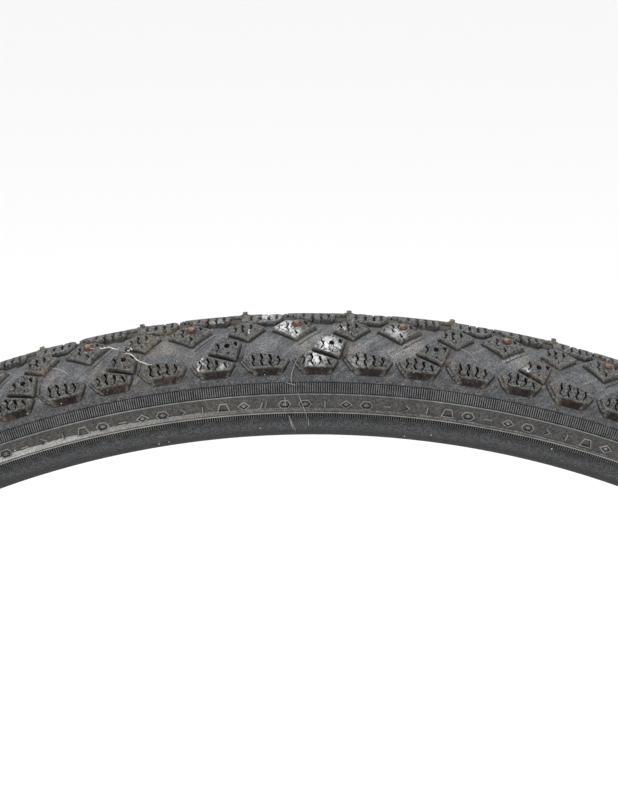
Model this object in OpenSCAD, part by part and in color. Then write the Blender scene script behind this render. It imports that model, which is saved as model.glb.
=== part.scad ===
// Studded winter bicycle tire with wire beads, size 42-622.
// The wheel axis is Y and the tire stands upright, centred on the origin. It rolls towards +X.
// The right side is -Y. A place in the cross-section is a distance r from the section centre and
// an angle a from the crown. A place on the tread is an arc s round the tire and an arc u from
// the crown line, both measured at the knob tops.

/* [Bead] */
// Diameter of the rim's bead seat
bead_seat_d = 622; // [590:1:630]
// Length of the flat under each bead, along the axle
seat_w = 4.4; // [3.6:0.1:5]
// Half the distance between the two bead cores
bead_half_gap = 9.8; // [9.4:0.1:10.2]
// Radius of the rubber wrap round the bead wires
wrap_r = 1.9; // [1.7:0.05:2]
// Diameter of one bead wire
wire_d = 1; // [0.8:0.05:1.05]

/* [Casing] */
// Inner radius of the cross-section, where the inner tube sits
cavity_r = 16.6; // [16:0.1:17]
// Thickness of one casing ply
ply_t = 0.55; // [0.45:0.05:0.6]
// Thickness of the puncture belt
belt_t = 1; // [0.8:0.1:1.2]
// Thickness of the sidewall rubber
sidewall_t = 1.3; // [1:0.1:1.4]

/* [Tread] */
// Thickness of tread rubber between the belt and the channel floor
floor_t = 1.3; // [1.1:0.1:1.5]
// Height of the shoulder knobs above the channel floor
knob_h = 3; // [2.4:0.1:3.5]
// Rise of the channel floor in the middle of the tread, where the knobs stand lower
crown_rise = 1; // [0:0.1:1.2]
// Number of times the tread pattern repeats round the tire
repeats = 60; // [56:1:62]

/* [Studs] */
// Distance of each stud row from the crown line
stud_u = 7.2; // [6.8:0.1:7.6]
// Height of the hard pin above the knob
pin_out = 1.3; // [0.8:0.1:1.5]
// Diameter of the hard pin
pin_d = 1.7; // [1.5:0.1:2]
// Diameter of the stud's body where it shows at the knob top
body_d = 3.8; // [3.2:0.1:4]
// Diameter of the pockets that were left without a stud
pocket_d = 1.8; // [1.4:0.1:2.2]

/* [Hidden] */
$fn = 96;

// Layers of the cross-section, from the inner tube outwards
ply_r = cavity_r + ply_t;
casing_r = ply_r + ply_t;
belt_r = casing_r + belt_t;
floor_r = belt_r + floor_t;
top_r = floor_r + knob_h;
wall_r = casing_r + sidewall_t;

// Angles from the crown at which the layers begin and end
belt_end = 50;
turnup_end = 62;
rise_end = 38;
floor_end = 66;
tread_end = 76;
ribs_from = 79;
ribs_to = 92;
recess_from = 93.5;
recess_to = 112;
marker_a = 117.4;
marker_half = 1.2;
casing_end = 120;

// How far the sidewall's bands and its fitting line stand out of its plain surface
band_out = 0.2;
ribs_out = 0.35;
recess_in = 0.1;
marker_out = 0.4;

// The bead: wires, wrap, one ply round it and the chafer outside
chafer_t = 0.6;
wire_gap = 0.03;
wire_pitch = wire_d + wire_gap;
bundle_r = wire_pitch + wire_d / 2 + wire_gap;
filler_r = 0.6;
filler_reach = 0.65;
seat_r = bead_seat_d / 2;
core = [seat_r + chafer_t + ply_t + wrap_r, bead_half_gap];
// The section's centre is this far outside the bead cores, so that the ply runs straight on to them
centre_rise = 13.95;
section_rho = core[0] + centre_rise;

// Where the tread pattern's knobs and studs sit
period = 360 / repeats;
crown_d = 2 * (section_rho + top_r);
mm_per_degree = PI * crown_d / 360;
pocket_s = 12.5;
pocket_u = 17;
shoulder_s = 7.3;
half = PI * crown_d / repeats / 2;

// Outlines of the knob tops, as [s, u] from each knob's own reference point
centre_outline = [[-0.8, -2.8], [-0.8, 2.8], [4.9, 4.3], [12.2, 2.4], [12.2, -2.4], [4.9, -4.3]];
stud_outline = [[-7.8, 9.6], [-4.2, 5], [1.6, 4.7], [7.2, 8.3], [-0.6, 15]];
inner_outline = [[-4.8, 11.2], [-1.8, 4.9], [7.2, 8.3], [1.4, 13.4]];
pocket_outline = [[-6.4, 18.6], [-0.6, 12], [5.6, 15.7], [2.4, 21.9]];
short_shoulder = [[-7.2, 23.2], [-3.2, 20.4], [7, 24.2], [5.5, 25.8], [-5.4, 25.8]];
long_shoulder = [[-7.4, 23.4], [-3.6, 19.9], [6.6, 22.2], [5.8, 25.8], [-5.6, 25.8]];

// Depths inside the tread, as distances from the section centre
knob_root_r = floor_r - 1;
stud_base_r = belt_r + 0.05;
pocket_base_r = stud_base_r + 0.3;
stud_top_r = top_r + 0.2;
pin_root_r = stud_base_r + 1.8;
pin_top_r = top_r + pin_out;
flange_r = 2.6;
flange_t = 0.9;
pin_chamfer = 0.2;

// How far a cut runs past a surface, and the gap between the tread's skirt and the casing
over = 2;
skirt_gap = 0.16;
// The channel floor is made of flats, which lie this much further out at their edges
flat_lift = 0.2;
tread_fn = 240;

RUBBER = [0.16, 0.16, 0.17];
CHAFER = [0.22, 0.22, 0.23];
PLY = [0.55, 0.5, 0.4];
BELT = [0.1, 0.35, 0.6];
WRAP = [0.3, 0.3, 0.3];
RUST = [0.5, 0.3, 0.18];
PIN = [0.6, 0.52, 0.42];

// A point of the cross-section, and an arc of points about 2.5 degrees apart
function at(r, a) = [section_rho + r * cos(a), r * sin(a)];
function arc(r, from, to) = let (n = ceil(abs(to - from) / 2.5 - 0.01))
    [for (i = [0:n]) at(r, from + (to - from) * i / n)];
function mirrored(points) = [for (i = [len(points) - 1:-1:0]) [points[i][0], -points[i][1]]];
function mean(points, axis) = (max([for (p = points) p[axis]]) + min([for (p = points) p[axis]])) / 2;
function angle_of(u) = u / top_r * 180 / PI;
function turn_of(i, side) = (i + (side < 0 ? 0.5 : 0)) * period;

// A ring round the axle from a 2D section, whose +y side becomes the right side
module ring() { rotate([90, 0, 0]) rotate_extrude() children(); }
module left_ring() { rotate([-90, 0, 0]) rotate_extrude() children(); }

// The bead: a sheet of some radius runs round the core between its two tangents to the casing
tip = at(ply_r, casing_end);
heading = atan2(tip[1] - core[1], tip[0] - core[0]);
function lean(foot_r, tip_r) = asin((foot_r - tip_r) / norm(tip - core));
function round_core(foot_r, tip_r) = let (start = heading - 90 + lean(foot_r, tip_r))
    [for (i = [0:14]) let (a = start - i * (180 + 2 * lean(foot_r, tip_r)) / 14)
        core + foot_r * [cos(a), sin(a)]];
function wrap_section() = concat(round_core(wrap_r, filler_r), [core + filler_reach * (tip - core)]);

// Puts children on the tread, z outwards, x round the tire, y towards the crown on the right
module on_tread(s, u) {
    rotate([0, s / mm_per_degree, 0]) translate([0, 0, section_rho]) rotate([angle_of(u), 0, 0])
        children();
}

// Everything that repeats is on the right at 0 and on the left half a repeat later
module both_sides() {
    for (i = [0:repeats - 1], side = [1, -1])
        rotate([0, turn_of(i, side), 0]) {
            $side = side;
            children();
        }
}

// One knob: its outline, moved by s, extruded out of the channel floor
module knob(outline, s) {
    mid_s = mean(outline, 0);
    mid_u = mean(outline, 1);
    on_tread(s + mid_s, $side * mid_u) translate([0, 0, knob_root_r])
        linear_extrude(top_r - knob_root_r)
            polygon([for (p = outline) [p[0] - mid_s, -$side * (p[1] - mid_u)]]);
}

// The floor's edges on the right, from the crown outwards. The tread's underside follows the belt,
// then stays just clear of the casing.
floor_edges = [
    at(floor_r + crown_rise + flat_lift / 2, rise_end / 3),
    at(floor_r + crown_rise + flat_lift, rise_end),
    at(floor_r + flat_lift, floor_end),
    at(wall_r + band_out, tread_end)
];
belt_top = [for (i = [2:-1:-2]) at(belt_r, i * belt_end / 2)];
skirt = [for (a = [tread_end, 68, 59, belt_end + 0.4]) at(casing_r + skirt_gap, a)];

function tread_section() = concat(mirrored(floor_edges), floor_edges, skirt, belt_top, mirrored(skirt));

module stud_shell(top) {
    translate([0, 0, stud_base_r]) cylinder(r = flange_r, h = flange_t);
    translate([0, 0, stud_base_r]) cylinder(d = body_d, h = top - stud_base_r);
}

module empty_pocket() {
    translate([0, 0, pocket_base_r]) cylinder(d = pocket_d, h = top_r + over - pocket_base_r);
}

module tread() {
    color(RUBBER) difference() {
        union() {
            rotate([90, 0, 0]) rotate_extrude($fn = tread_fn) polygon(tread_section());
            both_sides() {
                knob(centre_outline, 0);
                knob(stud_outline, 0);
                knob(inner_outline, half);
                knob(pocket_outline, pocket_s);
                knob(short_shoulder, shoulder_s);
                knob(long_shoulder, shoulder_s - half);
            }
        }
        both_sides() {
            on_tread(0, $side * stud_u) stud_shell(top_r + over);
            on_tread(pocket_s, $side * pocket_u) empty_pocket();
        }
    }
}

module puncture_belt() {
    color(BELT) ring() polygon(concat(arc(casing_r, -belt_end, belt_end), belt_top));
}

module crown_ply() {
    color(PLY) ring()
        polygon(concat(arc(ply_r, -turnup_end, turnup_end), arc(casing_r, turnup_end, -turnup_end)));
}

// One sheet from bead to bead, folded round each bead core and turned up outside itself
module carcass_ply() {
    fold = concat(round_core(wrap_r + ply_t, ply_t), arc(casing_r, casing_end, turnup_end));
    color(PLY) ring() difference() {
        polygon(concat(
            arc(cavity_r, -casing_end, casing_end),
            fold,
            arc(ply_r, turnup_end, -turnup_end),
            mirrored(fold)
        ));
        polygon(wrap_section());
        polygon(mirrored(wrap_section()));
    }
}

// Sidewall rubber: ribbed band, recess for the raised marks, and the fitting line above the rim
module sidewall_section() {
    polygon(concat(
        arc(wall_r + band_out, tread_end, ribs_from),
        arc(wall_r + ribs_out, ribs_from, ribs_to),
        arc(wall_r + band_out, ribs_to, recess_from),
        arc(wall_r - recess_in, recess_from, recess_to),
        [at(wall_r, recess_to), at(wall_r, marker_a - marker_half), at(wall_r + marker_out, marker_a)],
        [at(wall_r, marker_a + marker_half), at(wall_r, casing_end)],
        arc(casing_r, casing_end, tread_end)
    ));
}

module sidewall_left() { color(RUBBER) left_ring() sidewall_section(); }
module sidewall_right() { color(RUBBER) ring() sidewall_section(); }

// From the casing's edge round the bead's heel, along its seat and up inside to the toe
module chafer_section() {
    seat_from = core[1] - seat_w / 2;
    seat_to = core[1] + seat_w / 2;
    polygon(concat(
        [
            at(wall_r, casing_end),
            [seat_r + 2.2, seat_to + 1.25],
            [seat_r + 0.7, seat_to + 0.95],
            [seat_r, seat_to],
            [seat_r, seat_from],
            [seat_r + 0.5, seat_from - 0.6],
            [seat_r + 2.2, seat_from - 0.85],
            [seat_r + 4.4, seat_from - 0.5],
            [seat_r + 5.8, seat_from + 0.2]
        ],
        round_core(wrap_r + ply_t, ply_t),
        [at(casing_r, casing_end)]
    ));
}

module chafer_left() { color(CHAFER) left_ring() chafer_section(); }
module chafer_right() { color(CHAFER) ring() chafer_section(); }

// Seven hoops of wire, six round one
module bead_wires() {
    for (a = [-1:5])
        rotate_extrude() translate(core) rotate(a * 60) translate([a < 0 ? 0 : wire_pitch, 0])
            circle(d = wire_d);
}

module bead_wires_left() { color("silver") rotate([-90, 0, 0]) bead_wires(); }
module bead_wires_right() { color("silver") rotate([90, 0, 0]) bead_wires(); }

module wrap_layer() {
    difference() {
        polygon(wrap_section());
        translate(core) circle(bundle_r);
    }
}

module bead_wrap_left() { color(WRAP) left_ring() wrap_layer(); }
module bead_wrap_right() { color(WRAP) ring() wrap_layer(); }

module stud_body() {
    difference() {
        stud_shell(stud_top_r);
        translate([0, 0, pin_root_r]) cylinder(d = pin_d, h = stud_top_r + over - pin_root_r);
    }
}

module stud_pin() {
    straight = pin_top_r - pin_root_r - pin_chamfer;
    translate([0, 0, pin_root_r]) {
        cylinder(d = pin_d, h = straight);
        translate([0, 0, straight])
            cylinder(d1 = pin_d, d2 = pin_d - 2 * pin_chamfer, h = pin_chamfer);
    }
}

// One row of studs: side 1 is the right row and side -1 the left
module stud_row(side) {
    for (i = [0:repeats - 1])
        rotate([0, turn_of(i, side), 0]) on_tread(0, side * stud_u) children();
}

module stud_bodies_left() { color(RUST) stud_row(-1) stud_body(); }
module stud_bodies_right() { color(RUST) stud_row(1) stud_body(); }
module stud_pins_left() { color(PIN) stud_row(-1) stud_pin(); }
module stud_pins_right() { color(PIN) stud_row(1) stud_pin(); }

tread();
puncture_belt();
crown_ply();
carcass_ply();
sidewall_left();
sidewall_right();
chafer_left();
chafer_right();
bead_wires_left();
bead_wires_right();
bead_wrap_left();
bead_wrap_right();
stud_bodies_left();
stud_bodies_right();
stud_pins_left();
stud_pins_right();
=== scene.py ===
import copy
import math

import bpy
import numpy as np
from mathutils import Matrix, Vector
from mathutils.geometry import delaunay_2d_cdt


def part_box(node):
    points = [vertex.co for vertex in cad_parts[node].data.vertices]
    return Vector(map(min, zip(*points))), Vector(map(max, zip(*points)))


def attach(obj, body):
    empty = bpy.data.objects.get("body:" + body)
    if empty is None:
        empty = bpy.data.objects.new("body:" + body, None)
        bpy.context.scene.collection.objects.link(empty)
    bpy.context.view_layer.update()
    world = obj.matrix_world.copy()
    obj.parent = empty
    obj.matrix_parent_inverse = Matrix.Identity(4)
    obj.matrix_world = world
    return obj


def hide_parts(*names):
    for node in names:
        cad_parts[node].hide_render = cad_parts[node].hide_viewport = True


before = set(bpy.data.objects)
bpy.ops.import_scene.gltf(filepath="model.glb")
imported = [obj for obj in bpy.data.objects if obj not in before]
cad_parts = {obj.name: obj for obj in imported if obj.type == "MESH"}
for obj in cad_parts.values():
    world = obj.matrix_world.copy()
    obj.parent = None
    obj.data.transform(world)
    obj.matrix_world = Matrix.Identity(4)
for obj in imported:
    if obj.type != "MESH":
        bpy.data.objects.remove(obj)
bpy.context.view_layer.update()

# Sizes are in millimetres until a mesh is made. A place on the tread is (s, u, h): s is the arc
# round the tire and u the arc from the crown, both at the knob tops, and h is above the floor.
# The right side, towards -Y, has positive u. A place on a sidewall is (radius, psi), from the
# middle of the section, with psi in degrees: 0 at the crown, 90 at the widest and 180 at the bead.
MM = 0.001
TURN = 2 * math.pi
SIDES = ((1, "right"), (-1, "left"))
REPEATS = 60
KNOB_H = 3.0
FLOOR_R = 20.0
TOP_R = FLOOR_R + KNOB_H
CROWN_R = float(round(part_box("tread")[1][2] / MM))
SECTION_RHO = CROWN_R - TOP_R
PERIOD = TURN * CROWN_R / REPEATS
HALF = PERIOD / 2
TILE_FROM = -9.0
TILE_U = 29.0
STUD_U = 7.2
PARTS_ROUND = 4

rng = np.random.default_rng(4)


# ---- places

def on_tread(s, u, h):
    """Points in metres from arrays of s, u and h."""
    theta, psi, r = s / CROWN_R, u / TOP_R, FLOOR_R + h
    rho = SECTION_RHO + r * np.cos(psi)
    return np.stack([rho * np.sin(theta), -r * np.sin(psi), rho * np.cos(theta)], -1) * MM


def section(r, psi_deg):
    """(rho, a) on the cross-section: the distance from the wheel's axis and from its middle plane."""
    psi = math.radians(psi_deg)
    return SECTION_RHO + r * math.cos(psi), r * math.sin(psi)


# ---- mesh helpers

def mesh_object(name, verts, faces, material, attributes, smooth):
    """An object from points in metres and faces that all have as many corners. attributes holds one
    number a point under each name, and edges sharper than smooth degrees stay sharp."""
    mesh = bpy.data.meshes.new(name)
    faces = np.asarray(faces, np.int32)
    mesh.vertices.add(len(verts))
    mesh.vertices.foreach_set("co", np.asarray(verts, np.float32).ravel())
    mesh.loops.add(faces.size)
    mesh.loops.foreach_set("vertex_index", faces.ravel())
    mesh.polygons.add(len(faces))
    mesh.polygons.foreach_set("loop_start", np.arange(0, faces.size, faces.shape[1], dtype=np.int32))
    mesh.update(calc_edges=True)
    mesh.validate()
    for key, values in attributes.items():
        layer = mesh.attributes.new(key, "FLOAT", "POINT")
        layer.data.foreach_set("value", np.asarray(values, np.float32))
    mesh.polygons.foreach_set("use_smooth", np.ones(len(mesh.polygons), bool))
    mesh.set_sharp_from_angle(angle=math.radians(smooth))
    mesh.materials.append(material)
    obj = bpy.data.objects.new(name, mesh)
    bpy.context.scene.collection.objects.link(obj)
    return obj


def fit_to_tire(obj, node=None):
    """Fixes a piece to the tire and lets it stand for a CAD node."""
    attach(obj, "root")
    if node:
        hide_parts(node)


# ---- tread pattern

# Corners are cut off, but by no more than a share of the edge
CUT = 0.16
CUT_SHARE = 0.3
# The centre knob's sunken step, and the height that parts knobs from ribs
STEP_H = 1.75
TALL_H = 2.0
# The rounding of a top edge, the width of a wall's corner, and the fillet at the foot
BEVEL = 0.2
BEVEL_DROP = 0.1
CORNER = 0.5
FOOT_H = 0.3
FOOT_W = 0.45
FOOT_SPREAD = 0.1
RIB_FOOT = 0.3
# How light a wall's corner is painted, as a highlight, and a thin rib, as wear
RIB_WEAR_AND_CORNER_HIGHLIGHT = 0.8
# Sipes are wider at the top. Long ones swing to both sides of their line, and short ones bend once
SIPE_TOP = 0.34
SIPE_BOTTOM = 0.22
SIPE_DEPTH = 1.9
SIPE_END = 0.12
ZIGZAG_STEP = 0.66
ZIGZAG_SWING = [-0.4, -0.48, 0.48, 0.4]
SIPE_BEND = 0.18
SIPE_LEAN = 0.05
HOLE_R = 1.0
HOLE_SLOPE = 0.15
HOLE_DEPTH = 2.6
# How far the floor rises, from where it is highest out to where it ends
RISE_H = 1.0
RISE_FULL_U = 15.3
RISE_END_U = 25.0


def edges_of(poly):
    """Start points and outward normals of a counter-clockwise convex outline."""
    p = np.array(poly, float)
    q = np.roll(p, -1, 0)
    d = (q - p) / np.linalg.norm(q - p, axis=1)[:, None]
    return p, np.stack([d[:, 1], -d[:, 0]], 1)


def chamfered(poly, widths, cut):
    """Each corner becomes two, so that no knob has a knife corner."""
    out, wide = [], []
    n = len(poly)
    for i in range(n):
        p, a, b = (np.array(poly[j % n], float) for j in (i, i - 1, i + 1))
        la, lb = np.linalg.norm(a - p), np.linalg.norm(b - p)
        out.append(p + (a - p) / la * min(cut, la * CUT_SHARE))
        wide.append((widths[i - 1] + widths[i]) / 2)
        out.append(p + (b - p) / lb * min(cut, lb * CUT_SHARE))
        wide.append(widths[i])
    return out, wide


class Knob:
    """A convex block whose sides slope by their own widths, with sipes and an optional hole."""

    def __init__(self, outline, widths, height=KNOB_H, sipes=(), hole=None, cut=CUT, sipe_scale=1.0):
        area = sum(a[0] * b[1] - b[0] * a[1] for a, b in zip(outline, outline[1:] + outline[:1]))
        widths = [widths] * len(outline) if isinstance(widths, float) else widths
        if area < 0:
            outline = outline[::-1]
            widths = widths[:-1][::-1] + widths[-1:]
        outline, widths = chamfered(outline, widths, cut)
        self.base, self.normal = edges_of(outline)
        self.widths = np.array(widths)
        self.height = height
        self.tall = height > TALL_H
        self.sipes = [np.array(sipe) for sipe in sipes]
        self.sipe_scale = sipe_scale
        self.hole = None if hole is None else np.array(hole)

    def moved(self, ds, mirror=False):
        """A copy that is moved round the tire by ds, on the other side if mirrored."""
        new = copy.copy(self)
        flip, shift = np.array([1.0, -1.0 if mirror else 1.0]), np.array([ds, 0.0])
        new.base, new.normal = self.base * flip + shift, self.normal * flip
        if mirror:
            # The next corner in the flipped outline is the one before it, so each edge starts there
            new.base = np.roll(new.base, -1, 0)[::-1]
            new.normal, new.widths = new.normal[::-1], self.widths[::-1]
        new.sipes = [sipe * flip + shift for sipe in self.sipes]
        if self.hole is not None:
            new.hole = self.hole * flip + shift
        return new

    def outside(self, pts):
        """How far each point lies outside each edge."""
        return np.einsum("pej,ej->pe", pts[:, None, :] - self.base[None], self.normal)

    def loop(self, offset):
        """The outline with each edge moved out by its own offset."""
        out = []
        for i in range(len(self.base)):
            a, b = self.normal[i - 1], self.normal[i]
            reach = np.array([a @ self.base[i - 1] + offset[i - 1], b @ self.base[i] + offset[i]])
            out.append(np.linalg.solve(np.array([a, b]), reach))
        return np.array(out)


def floor_rise(u):
    """The channel floor is higher in the middle of the tread, so the knobs stand lower there."""
    return np.interp(np.abs(u), [RISE_FULL_U, RISE_END_U], [RISE_H, 0.0])


def zigzag(s, u0, u1):
    """A sipe's centre line at s, from u0 to u1."""
    n = max(2, int(round(abs(u1 - u0) / ZIGZAG_STEP)))
    return [(s + ZIGZAG_SWING[i % len(ZIGZAG_SWING)], u0 + (u1 - u0) * i / n) for i in range(n + 1)]


def short_sipe(s, u0, u1):
    """The centre line of a short, bent sipe."""
    return [(s, u0), (s + SIPE_BEND, (u0 + u1) / 2), (s - SIPE_LEAN, u1)]


centre_knob = Knob(
    [(-0.8, -3.3), (2.6, -4.7), (10.6, -4.8), (12.7, -3.0), (13.3, 1.2), (11.6, 4.5), (5.8, 4.7),
     (3.2, 3.0), (-0.8, 2.5)], 0.6, sipe_scale=1.5,
    sipes=[zigzag(2.4, -4.0, 2.0), zigzag(5.5, -4.2, 3.6), zigzag(8.5, -4.2, 3.7), zigzag(11.2, -3.4, 3.0)])
centre_step = Knob(
    [(-5.3, -2.4), (-0.6, -3.2), (-0.6, 2.4), (-4.6, 3.1)], [0.7, 0.5, 0.6, 0.8], height=STEP_H)
stud_knob = Knob(
    [(-8.3, 9.0), (-3.9, 4.5), (2.0, 4.1), (6.3, 7.5), (-0.9, 14.0)], [0.6, 0.5, 0.6, 1.7, 0.6],
    sipes=[short_sipe(-6.2, 8.1, 9.7), zigzag(-3.2, 5.7, 10.6), zigzag(-0.3, 10.4, 13.0),
           zigzag(3.1, 5.3, 8.0), short_sipe(4.9, 7.0, 8.2)])
inner_knob = Knob(
    [(13.0, 10.4), (16.4, 5.1), (19.6, 4.9), (25.4, 8.2), (19.6, 14.0)], [0.6, 0.6, 0.6, 0.9, 0.6],
    sipes=[zigzag(15.4, 7.2, 10.7), zigzag(17.9, 5.9, 11.2), zigzag(20.8, 6.2, 9.4),
           short_sipe(18.9, 11.6, 12.9)])
pocket_knob = Knob(
    [(5.8, 18.1), (10.9, 12.1), (16.6, 15.0), (14.7, 21.2)], [0.6, 0.6, 1.1, 0.8], hole=(12.2, 16.4),
    sipes=[zigzag(9.0, 15.0, 18.6), zigzag(15.2, 14.8, 16.8), short_sipe(12.7, 13.2, 14.0),
           short_sipe(12.5, 19.0, 20.0)])
short_shoulder = Knob(
    [(-0.2, 22.4), (4.1, 19.7), (13.9, 22.9), (12.7, 25.0), (1.6, 25.0)], [0.7, 0.6, 0.9, 3.0, 1.3],
    sipes=[zigzag(2.4, 21.3, 24.6), zigzag(5.2, 20.5, 24.8), zigzag(8.2, 21.4, 24.8),
           zigzag(11.2, 22.4, 24.7)])
long_shoulder = Knob(
    [(17.9, 22.4), (21.8, 19.6), (31.8, 21.2), (33.3, 22.4), (31.8, 25.0), (20.2, 25.0)],
    [0.7, 0.6, 0.8, 0.9, 3.0, 1.3],
    sipes=[zigzag(21.3, 20.6, 24.7), zigzag(24.2, 20.2, 24.8), zigzag(27.3, 20.6, 24.8),
           zigzag(30.3, 21.2, 24.7)])
# Thin ribs: off the leading corner of each shoulder knob, and along the foot of two others
RIBS_BY_KNOBS = [
    Knob([(-1.5, 22.4), (-1.1, 22.1), (1.3, 25.9), (0.9, 26.2)], 0.3, height=1.5, cut=0.1),
    Knob([(16.6, 22.3), (17.0, 22.0), (19.9, 25.9), (19.5, 26.2)], 0.3, height=1.5, cut=0.1),
    Knob([(0.5, 16.0), (0.8, 16.3), (8.4, 9.4), (8.1, 9.1)], 0.25, height=0.7, cut=0.05),
    Knob([(18.4, 15.4), (18.75, 15.5), (16.6, 22.0), (16.25, 21.9)], 0.25, height=1.1, cut=0.05),
]
CROWN = [centre_knob, centre_step]
ONE_SIDE = [stud_knob, inner_knob, pocket_knob, short_shoulder, long_shoulder] + RIBS_BY_KNOBS


def pattern():
    """Every knob that reaches the tile, from copies of the repeat before and after it. The left side's
    are mirrored and half a repeat away."""
    out = []
    for k in (-1, 0, 1, 2):
        for block in CROWN + ONE_SIDE:
            out.append(block.moved(k * PERIOD))
            out.append(block.moved(k * PERIOD + HALF - PERIOD, mirror=True))
    return out


def along(points, step):
    """A closed loop with points added so that none are further apart than step."""
    out = []
    for a, b in zip(points, np.roll(points, -1, 0)):
        n = max(1, int(math.ceil(np.linalg.norm(b - a) / step)))
        out += [a + (b - a) * i / n for i in range(n)]
    return np.array(out)


def slot_loop(line, width, shorten):
    """The outline of a slot of some width along a centre line."""
    line = line.copy()
    d = np.gradient(line, axis=0)
    d /= np.linalg.norm(d, axis=1)[:, None]
    line[0] += d[0] * shorten
    line[-1] -= d[-1] * shorten
    n = np.stack([d[:, 1], -d[:, 0]], 1) * width / 2
    return np.concatenate([line + n, (line - n)[::-1]])


def distance_to_line(pts, line):
    best = np.full(len(pts), np.inf)
    for a, b in zip(line[:-1], line[1:]):
        t = np.clip(((pts - a) @ (b - a)) / ((b - a) @ (b - a)), 0, 1)
        best = np.minimum(best, np.linalg.norm(pts - (a + t[:, None] * (b - a)), axis=1))
    return best


# How far from a knob's outline its walls and foot can reach
NEARBY = 4.0


def relief(pts, knobs):
    """Height above the channel floor at each point, and how much it is in a sipe, on a sunken
    step, along a knob's foot, where painted shade goes, and along a knob's top edge or wall corner, where
    wear and a painted highlight go, each from 0 to 1."""
    h = floor_rise(pts[:, 1])
    slot, step, foot_shade, edge = (np.zeros(len(pts)) for _ in range(4))
    for k in knobs:
        low, high = k.base.min(0) - NEARBY, k.base.max(0) + NEARBY
        near = np.where(np.all((pts > low) & (pts < high), axis=1))[0]
        if not len(near):
            continue
        p = pts[near]
        d = k.outside(p)
        slopes = np.sort(k.height - d * k.height / k.widths, axis=1)
        base = floor_rise(p[:, 1])
        rim = d.max(1)
        block = np.minimum(slopes[:, 0], k.height - BEVEL_DROP * np.clip(1 + rim / BEVEL, 0, 1) ** 2)
        reach = (d - k.widths * (1 - base[:, None] / k.height)).max(1)
        if k.tall:
            round_foot = np.clip((FOOT_W - reach) / (FOOT_W + FOOT_SPREAD), 0, 1) ** 2
            block = np.maximum(block, base + FOOT_H * round_foot)
        cut = np.zeros(len(p))
        half_top, half_bottom = SIPE_TOP * k.sipe_scale / 2, SIPE_BOTTOM * k.sipe_scale / 2
        for sipe in k.sipes:
            away = distance_to_line(p, sipe)
            deep = np.clip((half_top - away) / (half_top - half_bottom), 0, 1)
            cut = np.maximum(cut, np.where(rim < 0, deep, 0) * SIPE_DEPTH)
        if k.hole is not None:
            away = np.linalg.norm(p - k.hole, axis=1)
            cut = np.maximum(cut, np.clip((HOLE_R - away) / HOLE_SLOPE, 0, 1) * HOLE_DEPTH)
        block = block - cut
        foot_w = FOOT_W if k.tall else RIB_FOOT
        foot_shade[near] = np.maximum(foot_shade[near], np.clip(1 - np.abs(reach) / foot_w, 0, 1))
        # At a corner the two lowest slopes are as high as each other
        corner = np.clip(1 - (slopes[:, 1] - slopes[:, 0]) / CORNER, 0, 1) * (rim > 0) * (reach < 0)
        won = block > h[near]
        wins = near[won]
        slot[wins] = np.clip(cut[won] / SIPE_DEPTH, 0, 1)
        step[wins] = float(k.height == STEP_H)
        # Top edges and wall corners get a line of wear and painted highlight, and thin ribs are lightened as
        # a whole
        line = np.maximum(np.clip(1 - np.abs(rim[won]) / BEVEL, 0, 1), corner[won] * RIB_WEAR_AND_CORNER_HIGHLIGHT)
        edge[wins] = line if k.tall else RIB_WEAR_AND_CORNER_HIGHLIGHT * (k.height < STEP_H)
        h[wins] = block[won]
    return h, slot, step, foot_shade * (h < floor_rise(pts[:, 1]) + 1), edge


# How finely the tile is cut: the steps along outlines and where they lie on a wall and its foot, the
# points on a hole or edge and between the outlines, how far past the tile knobs and edges still
# count, and which points are taken as one
TOP_STEP = 1.3
FOOT_STEP = 1.6
LOW_ON_WALL = 0.85
INTO_FOOT = 0.4
HOLE_POINTS = 14
END_POINTS = 41
SIDE_POINTS = 32
GRID_ROWS = 37
GRID_COLUMNS = 24
GRID_SPARE = 4
GRID_GAP = 0.3
TILE_MARGIN = 6.0
KNOB_MARGIN = 5.0
TINY_AREA = 1e-7
WELD = 1e-5
ON_EDGE = 1e-3
SAME_U = 5e-3


def outlines(k):
    """The closed loops that a knob cuts into the tile: top, walls, foot, sipes and hole."""
    w = k.widths
    loops = [along(k.loop(-np.full(len(w), BEVEL)), TOP_STEP), along(k.loop(np.zeros(len(w))), TOP_STEP)]
    if k.tall:
        w = w * (1 - floor_rise(k.base[:, 1]) / k.height)
        offsets = (w * LOW_ON_WALL, w + FOOT_W * INTO_FOOT, w + FOOT_W)
    else:
        offsets = (w, w + RIB_FOOT)
    loops += [along(k.loop(offset), FOOT_STEP) for offset in offsets]
    for sipe in k.sipes:
        loops.append(slot_loop(sipe, SIPE_TOP * k.sipe_scale, 0.0))
        loops.append(slot_loop(sipe, SIPE_BOTTOM * k.sipe_scale, SIPE_END))
    if k.hole is not None:
        angles = np.linspace(0, TURN, HOLE_POINTS, endpoint=False)
        for r in (HOLE_R, HOLE_R - HOLE_SLOPE):
            loops.append([k.hole + r * np.array([math.cos(a), math.sin(a)]) for a in angles])
    return loops


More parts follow.
